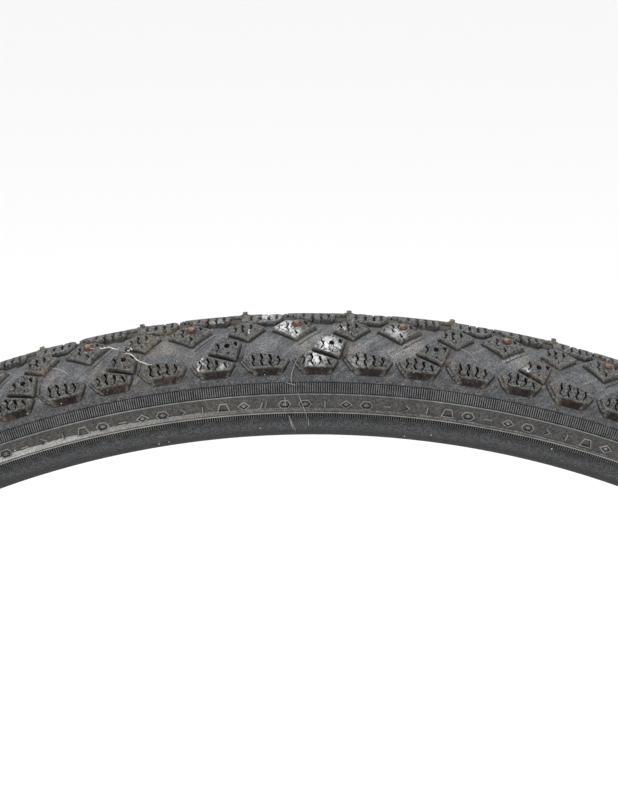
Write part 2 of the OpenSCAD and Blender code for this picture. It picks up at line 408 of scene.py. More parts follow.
def tread_tile():
    """One repeat of the tread as points (s, u), triangles and the relief at each point."""
    knobs = pattern()
    s0, s1 = TILE_FROM, TILE_FROM + PERIOD
    pts, edges = [], []

    def add_loop(points, closed=True):
        first = len(pts)
        pts.extend(Vector((float(x), float(y))) for x, y in points)
        last = len(pts) - 1
        edges.extend((i, i + 1) for i in range(first, last))
        if closed:
            edges.append((last, first))

    for k in knobs:
        if k.base[:, 0].max() >= s0 - KNOB_MARGIN and k.base[:, 0].min() <= s1 + KNOB_MARGIN:
            for loop in outlines(k):
                add_loop(loop)
    for s in (s0, s1):
        add_loop([(s, u) for u in np.linspace(-TILE_U, TILE_U, END_POINTS)], closed=False)
    for u in (-TILE_U, TILE_U):
        add_loop([(s, u) for s in np.linspace(s0 - TILE_MARGIN, s1 + TILE_MARGIN, SIDE_POINTS)], closed=False)
    # Loose points between the outlines, every other row moved by half a column
    for j, u in enumerate(np.linspace(-TILE_U, TILE_U, GRID_ROWS)[1:-1]):
        shift = s0 + (0.5 if j % 2 else 0.0) * PERIOD / GRID_COLUMNS
        for s in np.arange(-GRID_SPARE, GRID_COLUMNS + GRID_SPARE) * PERIOD / GRID_COLUMNS + shift:
            if min(abs(s - s0), abs(s - s1)) > GRID_GAP:
                pts.append(Vector((float(s), float(u))))
    verts, _, tris, *_ = delaunay_2d_cdt(pts, edges, [], 0, WELD)
    verts = np.array([(v.x, v.y) for v in verts])
    tris = np.array(tris)
    mid = verts[tris].mean(1)
    tris = tris[(mid[:, 0] > s0) & (mid[:, 0] < s1) & (np.abs(mid[:, 1]) < TILE_U)]
    a, b, c = (verts[tris[:, i]] for i in range(3))
    area = (b - a)[:, 0] * (c - a)[:, 1] - (b - a)[:, 1] * (c - a)[:, 0]
    used, tris = np.unique(tris[np.abs(area) > TINY_AREA], return_inverse=True)
    verts = verts[used]
    return verts, tris.reshape(-1, 3), relief(verts, knobs)


def wrap_tile(verts, tris, first, count, *values):
    """count tiles from the first, joined where they meet: s, u, each of the values and triangles."""
    n = len(verts)
    start = np.where(np.abs(verts[:, 0] - TILE_FROM) < ON_EDGE)[0]
    end = np.where(np.abs(verts[:, 0] - TILE_FROM - PERIOD) < ON_EDGE)[0]
    pairs = {}
    for point in end:
        gap = np.abs(verts[start, 1] - verts[point, 1])
        if gap.min() < SAME_U:
            pairs[point] = start[gap.argmin()]
    index = np.full((count, n), -1)
    total = 0
    shared = np.zeros(n, bool)
    shared[list(pairs)] = True
    for i in range(count):
        own = np.where(~shared)[0] if i < count - 1 else np.arange(n)
        index[i, own] = total + np.arange(len(own))
        total += len(own)
    for i in range(count - 1):
        for point, twin in pairs.items():
            index[i, point] = index[i + 1, twin]
    out = [np.zeros(total) for _ in range(2 + len(values))]
    for i in range(count):
        for array, value in zip(out, (verts[:, 0] + (first + i) * PERIOD, verts[:, 1], *values)):
            array[index[i]] = value
    return (*out, np.concatenate([index[i][tris] for i in range(count)]))


# ---- materials

# Colours that are used more than once
# Near black, for the coarse dark of the centre row's tops and for painted shade on walls
SOOT_AND_SHADE = (0.012, 0.012, 0.012)
# Pale dust, also used as a painted highlight along top edges and wall corners
DUST_AND_HIGHLIGHT = (0.27, 0.26, 0.235)
PALE_SPECK = (0.6, 0.59, 0.56)


class Shader:
    """A short way to write node trees. Most calls add a node and return its output. coat, grain and
    specks change the colour that the material has so far."""

    def __init__(self, name):
        self.material = bpy.data.materials.new(name)
        self.material.use_nodes = True
        self.tree = self.material.node_tree
        self.tree.nodes.clear()
        self.out = self.tree.nodes.new("ShaderNodeOutputMaterial")
        self.coord = self.tree.nodes.new("ShaderNodeTexCoord").outputs["Object"]
        self.colour = None

    def node(self, kind, inputs, **settings):
        """A node whose inputs are numbers, (red, green, blue) or other nodes' outputs."""
        node = self.tree.nodes.new("ShaderNode" + kind)
        for key, value in settings.items():
            setattr(node, key, value)
        for key, value in inputs.items():
            if isinstance(value, bpy.types.NodeSocket):
                self.tree.links.new(value, node.inputs[key])
            else:
                node.inputs[key].default_value = (*value, 1.0) if isinstance(value, tuple) else value
        return node

    def math(self, op, a, b=0.0, clamp=False):
        return self.node("Math", {0: a, 1: b}, operation=op, use_clamp=clamp).outputs[0]

    def times(self, *factors):
        """The product of some values, kept between 0 and 1."""
        value = factors[0]
        for factor in factors[1:]:
            value = self.math("MULTIPLY", value, factor, clamp=True)
        return value

    def attr(self, name):
        """A value that the mesh holds for each point."""
        return self.node("Attribute", {}, attribute_name=name).outputs["Fac"]

    def noise(self, scale, detail, rough=0.6, vector=None, distort=0.0):
        inputs = {"Vector": vector or self.coord, "Scale": scale, "Detail": detail, "Roughness": rough,
                  "Distortion": distort}
        return self.node("TexNoise", inputs).outputs["Fac"]

    def weave(self, scale, distort):
        """Diagonal bands, like the cords of a cloth."""
        inputs = {"Vector": self.coord, "Scale": scale, "Distortion": distort}
        return self.node("TexWave", inputs, bands_direction="DIAGONAL").outputs["Fac"]

    def step(self, value, low, high, out_low=0.0, out_high=1.0):
        """A smooth change from out_low to out_high as the value goes from low to high."""
        inputs = {"Value": value, "From Min": low, "From Max": high, "To Min": out_low, "To Max": out_high}
        return self.node("MapRange", inputs, interpolation_type="SMOOTHSTEP").outputs[0]

    def mix(self, factor, a, b, blend="MIX"):
        """a where the factor is 0 and b where it is 1. The node's colours are inputs 6 and 7."""
        inputs = {"Factor": factor, 6: a, 7: b}
        return self.node("Mix", inputs, data_type="RGBA", blend_type=blend).outputs[2]

    def coat(self, tone, *factors):
        """Covers the colour with a tone, as far as the product of the factors goes."""
        self.colour = self.mix(self.times(*factors), self.colour, tone)

    def grain(self, scale, low, high, amount=1.0):
        """Multiplies the colour by a fine grain that goes from low to high."""
        grain = self.step(self.noise(scale, 2.0, 0.7), 0.38, 0.62, low, high)
        self.colour = self.mix(amount, self.colour, grain, "MULTIPLY")

    def specks(self, scale, radii, tone):
        """Strews small dots, which fade between two radii."""
        dots = self.node("TexVoronoi", {"Vector": self.coord, "Scale": scale}).outputs["Distance"]
        self.coat(tone, self.step(dots, *radii))

    def bump(self, height, distance, strength, normal=None):
        inputs = {"Height": height, "Distance": distance, "Strength": strength}
        if normal is not None:
            inputs["Normal"] = normal
        return self.node("Bump", inputs).outputs[0]

    def finish(self, roughness, normal, metallic=0.0, specular=0.5):
        inputs = {"Base Color": self.colour, "Roughness": roughness, "Metallic": metallic,
                  "Specular IOR Level": specular, "Normal": normal}
        bsdf = self.node("BsdfPrincipled", inputs)
        self.tree.links.new(bsdf.outputs[0], self.out.inputs[0])
        return self.material


def channel_dust(m, floor, u, grit):
    """Streaks of dust and grime on the floor, along the channels, which run outwards and back."""
    s = m.attr("ss")
    along_lane = m.math("MULTIPLY", m.math("SUBTRACT", s, u), 0.05)
    across_lane = m.math("MULTIPLY", m.math("ADD", s, u), 0.42)
    lane = m.node("CombineXYZ", {0: along_lane, 1: across_lane, 2: m.math("MULTIPLY", u, 0.05)}).outputs[0]
    streak = m.noise(1.0, 4.0, 0.65, vector=lane)
    m.coat((0.21, 0.21, 0.205), floor, m.step(streak, 0.5, 0.68), 0.5)
    m.coat((0.035, 0.038, 0.044), floor, m.step(streak, 0.46, 0.34), 0.55)
    m.coat((0.27, 0.27, 0.26), floor, m.attr("pale"), m.step(grit, 0.3, 0.62), 0.7)


def knob_top(m, u, broad, mid, grit, fleck):
    """Mottled black and grey, smoother in broad patches and coarser on the centre row."""
    tone = m.mix(m.step(fleck, 0.38, 0.62), (0.016, 0.016, 0.016), (0.128, 0.126, 0.118))
    tone = m.mix(m.step(mid, 0.4, 0.62, 0.3, 0.0), tone, (0.02, 0.02, 0.019))
    tone = m.mix(m.step(broad, 0.58, 0.42, 0.0, 0.65), tone, (0.082, 0.084, 0.086))
    coarse = m.mix(m.step(grit, 0.42, 0.56), SOOT_AND_SHADE, (0.16, 0.157, 0.148))
    return m.mix(m.step(u, 6.0, 5.0, 0.0, 0.55), tone, coarse)


def tread_rubber():
    m = Shader("tread_rubber")
    h, u = m.attr("hgt"), m.math("ABSOLUTE", m.attr("uu"))
    broad = m.noise(35.0, 3.0)
    mid = m.noise(300.0, 5.0, 0.7)
    fine = m.noise(1300.0, 3.0, 0.75)
    grit = m.noise(900.0, 4.0, 0.8, distort=0.6)
    fleck = m.noise(1000.0, 3.0, 0.75)
    above_floor = m.math("SUBTRACT", h, m.step(u, RISE_END_U, RISE_FULL_U))
    top, floor = m.step(h, 2.4, 2.9), m.step(above_floor, 0.5, 0.12)
    not_floor = m.math("SUBTRACT", 1.0, floor)
    # A grey floor, darker past the shoulder, and walls with painted shade near the floor and on the centre
    # row
    floor_tone = m.mix(m.step(mid, 0.3, 0.7), (0.07, 0.073, 0.08), (0.135, 0.138, 0.145))
    floor_tone = m.mix(m.step(u, 24.5, 26.5, 0.0, 0.55), floor_tone, (0.03, 0.031, 0.034))
    wall_tone = m.mix(m.step(mid, 0.34, 0.68), (0.023, 0.0212, 0.02), (0.063, 0.0575, 0.051))
    m.colour = m.mix(floor, wall_tone, floor_tone)
    m.coat(SOOT_AND_SHADE, m.step(above_floor, 1.3, 0.3), not_floor, 0.7)
    m.coat(SOOT_AND_SHADE, m.step(u, 6.4, 5.4), not_floor, m.math("SUBTRACT", 1.0, top), 0.85)
    channel_dust(m, floor, u, grit)
    m.coat(knob_top(m, u, broad, mid, grit, fleck), top)
    outer = m.times(m.step(u, 24.8, 25.15), m.step(h, 0.03, 0.25))
    outer_wall = m.mix(m.step(mid, 0.3, 0.7), (0.008, 0.006, 0.006), (0.034, 0.025, 0.021))
    m.coat(outer_wall, outer)
    sunken = m.mix(m.step(mid, 0.3, 0.7), (0.016, 0.012, 0.009), (0.05, 0.036, 0.027))
    m.coat(sunken, m.attr("step"))
    # Grain: dark pits and pale dust
    m.grain(2100.0, 0.25, 1.7, m.step(top, 0.0, 1.0, 0.6, 1.0))
    m.coat(DUST_AND_HIGHLIGHT, m.step(fleck, 0.6, 0.68), m.step(broad, 0.35, 0.6), m.step(top, 0.0, 1.0, 0.4, 0.55))
    # Wear and a painted highlight along the top edges and wall corners, and painted shade at the foot of each
    # wall
    m.coat(DUST_AND_HIGHLIGHT, m.attr("edge"), m.step(grit, 0.38, 0.56), 0.7)
    m.coat((0.012, 0.011, 0.011), m.step(m.attr("foot_shade"), 0.4, 0.72), m.step(broad, 0.25, 0.5, 0.6, 0.95))
    # Brown dirt, dried paint and bright specks
    m.coat((0.14, 0.115, 0.088), m.step(broad, 0.52, 0.7), m.step(mid, 0.4, 0.6), 0.3)
    brown = m.times(m.attr("dust"), m.step(grit, 0.42, 0.6), m.step(mid, 0.4, 0.56),
                    m.step(top, 0.0, 1.0, 1.0, 0.3))
    m.coat((0.26, 0.185, 0.12), brown, 0.85)
    m.coat((0.62, 0.42, 0.27), brown, m.step(fine, 0.6, 0.7))
    flake = m.step(m.math("ADD", m.math("MULTIPLY", grit, 0.65), m.math("MULTIPLY", mid, 0.35)), 0.44, 0.54)
    m.coat((0.72, 0.73, 0.74), m.attr("scuff"), flake, m.step(h, 2.4, 2.85))
    m.specks(210.0, (0.055, 0.035), (0.55, 0.54, 0.51))
    # Painted shade inside the sipes and holes
    m.coat((0.004, 0.004, 0.004), m.step(m.attr("slot"), 0.1, 0.5))
    # Slots don't shine at all, and the outer walls shine less
    slot_shine = m.step(m.attr("slot"), 0.1, 0.5, 0.36, 0.0)
    shine = m.math("MULTIPLY", slot_shine, m.step(outer, 0.0, 1.0, 1.0, 0.35))
    normal = m.bump(mid, 0.0009, 0.6, m.bump(fine, 0.0004, 0.9))
    return m.finish(m.step(mid, 0.3, 0.75, 0.5, 0.78), normal, specular=shine)


# How many degrees further down the sidewall's crease lies for each metre towards +X
CREASE_SLOPE = 25.0


def side_rubber():
    m = Shader("sidewall_rubber")
    psi, x = m.attr("psi"), m.node("SeparateXYZ", {"Vector": m.coord}).outputs[0]
    mid = m.noise(300.0, 5.0, 0.7)
    fine = m.noise(1400.0, 3.0, 0.7)
    broad = m.noise(30.0, 3.0)
    # Grey, with a brown band between the rim lines that holds the marks
    grey = m.mix(m.step(mid, 0.34, 0.66), (0.046, 0.048, 0.053), (0.083, 0.086, 0.091))
    brown = m.mix(m.step(mid, 0.3, 0.7), (0.03, 0.027, 0.025), (0.068, 0.061, 0.055))
    band = m.times(m.step(psi, 88.9, 89.6), m.step(psi, 109.6, 109.0))
    m.colour = m.mix(band, grey, brown)
    # The band has a painted sheen below a crease that wanders, most towards -X
    ragged = m.math("MULTIPLY", m.math("SUBTRACT", m.noise(420.0, 3.0), 0.5), 3.2)
    wander = m.math("ADD", m.math("SUBTRACT", psi, m.math("MULTIPLY", x, CREASE_SLOPE)), ragged)
    along_band = m.math("ADD", m.step(x, 0.015, -0.09, 0.15, 1.0), m.step(x, 0.03, 0.09, 0.0, 0.25))
    painted_sheen = m.times(m.step(wander, 104.9, 105.5), m.step(psi, 109.0, 108.5), along_band,
                     m.step(mid, 0.3, 0.56, 0.72, 1.0))
    sheen_tone = m.mix(m.step(x, -0.04, -0.1), (0.27, 0.265, 0.25), (0.35, 0.345, 0.33))
    m.coat(sheen_tone, painted_sheen)
    # Painted shade along the crease
    m.coat((0.018, 0.017, 0.016), m.step(wander, 103.6, 104.6), m.step(wander, 105.3, 104.8), 0.7)
    # From the teeth down the rubber is almost black
    low = m.step(psi, 111.2, 111.8)
    low_tone = m.mix(m.step(mid, 0.3, 0.75), (0.014, 0.015, 0.017), (0.034, 0.035, 0.039))
    m.coat(low_tone, low)
    m.coat((0.12, 0.105, 0.085), m.step(broad, 0.5, 0.7), 0.25)
    m.grain(2000.0, 0.35, 1.55, m.step(painted_sheen, 0.0, 0.8, 1.0, 0.5))
    # Painted shade in the gaps between ribs, broken by dust except low down, and crests made pale by wear and
    # a painted highlight
    broken = m.math("MAXIMUM", m.step(m.noise(700.0, 2.0), 0.36, 0.58, 0.5, 1.0), low)
    m.coat((0.005, 0.005, 0.005), m.attr("gap"), broken)
    wear_and_highlight = m.times(m.step(mid, 0.3, 0.6, 0.6, 1.0), m.step(broad, 0.34, 0.62, 0.65, 1.0))
    m.coat((0.33, 0.325, 0.31), m.attr("crest_wear_and_highlight"), wear_and_highlight)
    m.specks(150.0, (0.04, 0.025), PALE_SPECK)
    normal = m.bump(mid, 0.0006, 0.5, m.bump(fine, 0.0003, 0.8))
    return m.finish(m.step(mid, 0.3, 0.75, 0.42, 0.62), normal,
                    specular=m.step(m.attr("gap"), 0.0, 1.0, 0.42, 0.0))


def casing_cloth():
    m = Shader("casing_fabric")
    weave, mid = m.weave(260.0, 0.6), m.noise(160.0, 4.0)
    m.colour = m.mix(weave, (0.03, 0.028, 0.026), (0.07, 0.064, 0.056))
    m.coat((0.13, 0.12, 0.1), m.math("MULTIPLY", m.step(mid, 0.45, 0.7), 0.4))
    return m.finish(0.75, m.bump(weave, 0.0004, 0.6))


def chafer_rubber():
    m = Shader("chafer_fabric")
    mid, fine, weave = m.noise(260.0, 5.0, 0.7), m.noise(1500.0, 3.0, 0.7), m.weave(330.0, 0.8)
    psi = m.attr("psi")
    m.colour = m.mix(m.step(mid, 0.34, 0.66), (0.01, 0.011, 0.012), (0.034, 0.035, 0.037))
    # A painted highlight as a lighter streak round the bead's shoulder, and black towards the toe
    m.coat((0.042, 0.045, 0.05), m.step(psi, 121.5, 125.5), m.step(psi, 131.0, 127.0), 0.5)
    m.coat((0.006, 0.006, 0.007), m.step(psi, 131.0, 136.0, 0.0, 0.7))
    m.grain(1500.0, 0.3, 1.8)
    m.specks(210.0, (0.06, 0.035), PALE_SPECK)
    normal = m.bump(weave, 0.0001, 0.35, m.bump(mid, 0.0006, 0.5, m.bump(fine, 0.0003, 0.7)))
    return m.finish(m.step(mid, 0.3, 0.75, 0.36, 0.58), normal, specular=0.36)


def stud_rust():
    m = Shader("stud_rust")
    mid, fine = m.noise(800.0, 5.0, 0.7), m.noise(3200.0, 4.0, 0.7)
    m.colour = m.mix(m.step(mid, 0.46, 0.66), (0.016, 0.01, 0.008), (0.1, 0.037, 0.02))
    m.coat((0.32, 0.12, 0.06), m.step(fine, 0.56, 0.7), 0.5)
    m.coat((0.36, 0.14, 0.07), m.attr("rust"), m.step(mid, 0.46, 0.6))
    normal = m.bump(mid, 0.0006, 0.8, m.bump(fine, 0.0003, 0.9))
    return m.finish(m.step(mid, 0.3, 0.7, 0.6, 0.9), normal, metallic=0.1)


def pin_metal(name, rusty):
    """Worn hard metal. rusty is how much of the mesh's rust shows."""
    m = Shader(name)
    mid, fine = m.noise(900.0, 5.0, 0.7), m.noise(3600.0, 3.0, 0.6)
    m.colour = m.mix(m.step(mid, 0.4, 0.6), (0.2, 0.135, 0.09), (0.38, 0.3, 0.225))
    m.coat((0.55, 0.45, 0.36), m.step(fine, 0.56, 0.68))
    m.coat((0.43, 0.17, 0.085), m.attr("rust"), m.step(mid, 0.36, 0.56), rusty)
    m.coat((0.05, 0.028, 0.018), m.step(fine, 0.49, 0.38))
    normal = m.bump(mid, 0.0005, 0.7, m.bump(fine, 0.0002, 0.8))
    return m.finish(m.step(mid, 0.3, 0.7, 0.45, 0.8), normal, metallic=0.3)


def fibre(name, low, high, rough, scale):
    """The uneven colour of a hair or thread, from low to high."""
    m = Shader(name)
    mid = m.noise(scale, 4.0)
    m.colour = m.mix(m.step(mid, 0.3, 0.7), low, high)
    return m.finish(m.step(mid, 0.3, 0.7, rough - 0.1, rough + 0.1), m.bump(mid, 0.0003, 0.4))


TREAD = tread_rubber()
SIDE = side_rubber()
CLOTH = casing_cloth()
RUST = stud_rust()
PINS = {"right": pin_metal("pin_rusty", 1.0), "left": pin_metal("pin_dull", 0.0)}
BEAD = chafer_rubber()
HAIR = fibre("hair", (0.2, 0.19, 0.18), (0.42, 0.4, 0.38), 0.5, 400.0)
THREAD = fibre("thread", (0.42, 0.4, 0.37), (0.8, 0.79, 0.76), 0.7, 1500.0)

# ---- tread mesh

# Places with dried paint, brown dirt or pale dust, as (s, u, radius, strength)
SCUFFS = [(-3.5, 9.0, 5.4, 1.0), (-0.5, 12.5, 3.2, 1.0), (10.6, 17.4, 5.4, 1.0), (14.2, 18.2, 3.0, 0.8),
          (7.0, 22.0, 4.6, 1.0), (5.0, 24.0, 3.0, 0.8), (-9.6, 0.0, 5.5, 0.8), (-33.8, 21.6, 2.4, 0.9),
          (-35.0, 24.0, 2.0, 0.9), (-26.5, 24.0, 2.0, 0.6), (34.5, 9.8, 4.6, 0.62), (38.0, 12.5, 3.0, 0.4),
          (16.0, 9.5, 1.6, 0.8), (-27.5, 3.0, 4.0, 0.35), (21.5, 24.0, 5.0, 0.3), (81.6, 19.0, 1.7, 1.0)]
DIRT = [(-52.0, 9.0, 9.0, 1.0), (-47.0, 4.0, 6.0, 0.8), (-58.0, 16.0, 6.0, 0.5), (19.0, 17.6, 3.6, 1.0),
        (2.0, 17.0, 5.0, 0.2), (40.0, 17.0, 8.0, 0.45), (88.0, 15.0, 8.0, 0.6), (-90.0, 15.0, 8.0, 0.5),
        (-70.0, 19.0, 6.0, 0.6), (53.5, 20.3, 4.2, 0.9), (58.5, 18.5, 3.4, 0.7), (72.3, 21.0, 2.2, 0.8),
        (84.5, 19.8, 3.4, 0.9), (90.2, 20.4, 3.2, 0.8), (80.5, 12.5, 4.0, 0.6)]
PALE = [(2.5, 16.5, 4.6, 1.0), (6.5, 12.5, 4.6, 1.0), (40.0, 16.0, 6.5, 1.0), (34.0, 20.0, 5.0, 0.9),
        (-12.0, 15.0, 6.0, 0.5), (-45.0, 12.0, 6.0, 0.7), (22.0, 18.0, 5.0, 0.6), (78.0, 14.0, 7.0, 0.8)]
STAIN_FADE = 1.35


def stain(s, u, spots):
    """How stained each point is, from a spot's strength near its middle to 0 at its radius."""
    round_length = TURN * CROWN_R
    out = np.zeros(len(s))
    for spot_s, spot_u, radius, strength in spots:
        ds = (s - spot_s + round_length / 2) % round_length - round_length / 2
        away = np.hypot(ds, u - spot_u)
        out = np.maximum(out, strength * np.clip(STAIN_FADE * (1 - away / radius), 0, 1))
    return out


def build_tread():
    """The tread in a few parts, each of whole repeats."""
    verts, tris, surface = tread_tile()
    per_part = REPEATS // PARTS_ROUND
    for part in range(PARTS_ROUND):
        first = per_part * part - per_part // 2
        s, u, h, slot, step, foot_shade, edge, faces = wrap_tile(verts, tris, first, per_part, *surface)
        marks = {"hgt": h, "ss": s, "uu": u, "slot": slot, "step": step, "foot_shade": foot_shade, "edge": edge,
                 "scuff": stain(s, u, SCUFFS), "dust": stain(s, u, DIRT), "pale": stain(s, u, PALE)}
        obj = mesh_object(f"tread_{part + 1}", on_tread(s, u, h), faces[:, ::-1], TREAD, marks, smooth=32)
        fit_to_tire(obj, "tread")


build_tread()

# ---- sidewalls

# How pale a rib's crest is made, by wear and a painted highlight, and how soon the painted shade of a gap
# ends on its way up a rib
RIB_CREST = 0.36
GAP_FADE = 3


def revolve(name, rows, columns, side, material, lift=None, crest_wear_and_highlight=0.0, gap_depth=0.85):
    """Turns rows of (rho, a, psi) round the wheel's axis. The crest value is how pale each row is made, by
    wear and a painted highlight. For ribs, lift is how far each point stands out, and gap_depth how dark the
    gaps' painted shade is."""
    rho, a, psi = (np.repeat(np.array(value)[:, None], columns, 1) for value in zip(*rows))
    theta = np.linspace(0, TURN, columns, endpoint=False)[None, :]
    if lift is not None:
        rho = rho + lift * np.cos(np.radians(psi))
        a = a + lift * np.sin(np.radians(psi))
    co = np.stack([rho * np.sin(theta), -side * a, rho * np.cos(theta)], -1).reshape(-1, 3) * MM
    i, j = np.meshgrid(np.arange(len(rows) - 1), np.arange(columns), indexing="ij")
    k = (j + 1) % columns
    corners = [i * columns + k, (i + 1) * columns + k, (i + 1) * columns + j, i * columns + j]
    quads = np.stack(corners if side > 0 else corners[::-1], -1).reshape(-1, 4)
    if lift is None:
        top, gap = np.repeat(np.broadcast_to(crest_wear_and_highlight, len(rows)), columns), np.zeros(len(co))
    else:
        high = (lift / lift.max()).ravel()
        top, gap = high * RIB_CREST * gap_depth, np.clip(gap_depth - high * GAP_FADE, 0, 1)
    return mesh_object(name, co, quads, material, {"psi": psi.ravel(), "crest_wear_and_highlight": top, "gap": gap}, smooth=50)


def polar(*points):
    """Rows for revolve from (radius, psi)."""
    return [(*section(r, p), p) for r, p in points]


RIBS = 2640
TEETH = 2520
SMOOTH_COLUMNS = 720
BANDS = {
    "shoulder_band": polar(
        (19.9, 69.2), (20.0, 70.2), (19.98, 72.0), (19.9, 74.0), (19.8, 76.4), (19.5, 77.2)),
    "ribbed_band": polar(
        (19.45, 77.0), (19.52, 77.6), (19.52, 78.1), (19.52, 81.0), (19.5, 85.0), (19.46, 87.8),
        (19.44, 88.3), (19.4, 88.8)),
    "mark_band": polar(
        (19.3, 88.4), (19.5, 88.9), (19.92, 89.3), (19.95, 89.8), (19.6, 90.3), (19.5, 91.5),
        (19.45, 94.0), (19.4, 97.5), (19.32, 101.0), (19.2, 104.2), (19.14, 104.8), (19.24, 105.4),
        (19.45, 106.8), (19.62, 108.3), (19.6, 108.8), (19.15, 109.2), (19.1, 109.6), (19.5, 109.9),
        (19.8, 110.3), (19.78, 110.9), (19.4, 111.5), (18.9, 111.9)),
    "toothed_band": polar(
        (18.6, 111.5), (18.7, 112.0), (18.8, 112.4), (18.9, 117.4), (18.9, 118.2), (18.9, 118.8)),
}
# How pale each row of the mark band is made, by wear and a painted highlight, most on the rim lines at both
# edges
MARK_BAND_WEAR_AND_HIGHLIGHT = [0.0, 0.0, 0.8, 0.8, 0.1] + [0.0] * 12 + [0.5, 1.0, 0.9, 0.2, 0.0]
# Round the bead, as rows of (rho, a, psi)
HEEL_TO_TOE = [(318.5, 16.85, 120.0), (317.0, 16.3, 124.0), (315.2, 15.35, 128.0), (313.6, 14.2, 134.0),
               (312.2, 13.3, 140.0), (311.4, 12.8, 150.0), (311.02, 12.1, 170.0), (311.0, 11.9, 180.0),
               (311.0, 7.7, 180.0), (311.2, 7.3, 200.0), (311.8, 6.95, 220.0), (313.2, 6.8, 250.0),
               (315.2, 7.15, 270.0), (316.6, 7.75, 280.0), (316.8, 8.4, 300.0)]


def comb(count, rises):
    """Ribs for revolve: how far each point of each row stands out, two points low and two high."""
    return np.array(rises)[:, None] * np.tile([0.0, 0.0, 1.0, 1.0], count)[None, :]


def build_sidewall(side, word):
    """One sidewall's four bands, and the bead cover below them."""
    ribs = comb(RIBS, [0, 0, 0.3, 0.32, 0.32, 0.3, 0, 0])
    teeth = comb(TEETH, [0, 0, 0.6, 0.42, 0, 0])
    looks = {
        "shoulder_band": (SMOOTH_COLUMNS, {}),
        "ribbed_band": (RIBS * 4, {"lift": ribs}),
        "mark_band": (SMOOTH_COLUMNS, {"crest_wear_and_highlight": MARK_BAND_WEAR_AND_HIGHLIGHT}),
        "toothed_band": (TEETH * 4, {"lift": teeth, "gap_depth": 1.0}),
    }
    for band, (columns, look) in looks.items():
        obj = revolve(f"{band}_{word}", BANDS[band], columns, side, SIDE, **look)
        fit_to_tire(obj, f"sidewall_{word}")
    bead = polar((18.85, 117.8), (19.0, 118.6)) + HEEL_TO_TOE
    obj = revolve(f"bead_cover_{word}", bead, SMOOTH_COLUMNS, side, BEAD)
    fit_to_tire(obj, f"chafer_{word}")


for side, word in SIDES:
    build_sidewall(side, word)

# ---- raised marks

# Abstract shapes that go round each sidewall, as strokes of (points, closed) in mm about their middle
HEXAGON = [(-2.0, 0.0), (-1.1, 1.35), (1.1, 1.35), (2.0, 0.0), (1.1, -1.35), (-1.1, -1.35)]
DIAMOND = [(-1.9, 0.0), (0.0, 1.35), (1.9, 0.0), (0.0, -1.35)]
WEDGE = [(-1.0, 1.35), (1.0, 1.35), (1.9, -1.35), (-1.9, -1.35)]
PIP = [(-0.35, 0.0), (0.0, 0.3), (0.35, 0.0), (0.0, -0.3)]
SHAPES = {
    "ring": [(HEXAGON, True), (PIP, True)],
    "bar": [([(-0.1, -1.35), (0.1, 1.35)], False)],
    "diamond": [(DIAMOND, True), (PIP, True)],
    "dash": [([(-1.4, -0.1), (1.4, -0.1)], False)],
    "wedge": [(WEDGE, True)],
    "arrow": [([(-0.9, 1.2), (0.7, 0.0), (-0.9, -1.2)], False)],
    "pair": [([(-1.2, -1.2), (-0.4, 1.2)], False), ([(0.3, -1.2), (1.1, 1.2)], False)],
}
ORDER = ("ring bar diamond ring dash arrow bar wedge ring dash diamond ring arrow bar wedge diamond "
         "pair ring").split()
MARKS_ROUND = 288
MARK_PSI = 100.7
MARK_R = 19.4
MARK_START = 0.35
# How strong the painted highlight along one top edge of a stroke is, and how dark the painted shade on the
# rest of it is
MARK_HIGHLIGHT = 0.85
MARK_SHADE = 0.95
STROKE_HALF = 0.2
STROKE_FOOT = 0.26
STROKE_H = 0.34
STROKE_SUNK = -0.06


def stroke(points, closed):
    """A raised line of some width: points (x, y, lift), quads and how pale each point is made: a painted
    highlight along one top edge.
    """
    p = np.array(points, float)
    ahead, behind = np.roll(p, -1, 0) - p, p - np.roll(p, 1, 0)
    if not closed:
        ahead[-1], behind[0] = behind[-1], ahead[0]
    ahead /= np.linalg.norm(ahead, axis=1)[:, None]
    behind /= np.linalg.norm(behind, axis=1)[:, None]
    mitre = ahead + behind
    mitre /= np.linalg.norm(mitre, axis=1)[:, None]
    normal = np.stack([-mitre[:, 1], mitre[:, 0]], 1) / np.sum(mitre * ahead, axis=1)[:, None]
    wide = STROKE_HALF + STROKE_FOOT
    rows = ((-wide, STROKE_SUNK), (-STROKE_HALF, STROKE_H), (STROKE_HALF, STROKE_H), (wide, STROKE_SUNK))
    out = np.concatenate([np.column_stack([p + normal * w, np.full(len(p), z)]) for w, z in rows])
    n, quads = len(p), []
    for i in range(n if closed else n - 1):
        j = (i + 1) % n
        quads += [(r * n + i, r * n + j, (r + 1) * n + j, (r + 1) * n + i) for r in range(3)]
    if not closed:
        quads += [(0, n, 2 * n, 3 * n), (4 * n - 1, 3 * n - 1, 2 * n - 1, n - 1)]
    # A painted highlight on one top edge, and a trace of it on the other
    wear_and_highlight = np.repeat([0.0, 0.1, 1.0, 0.0], n)
    return out, np.array(quads), wear_and_highlight


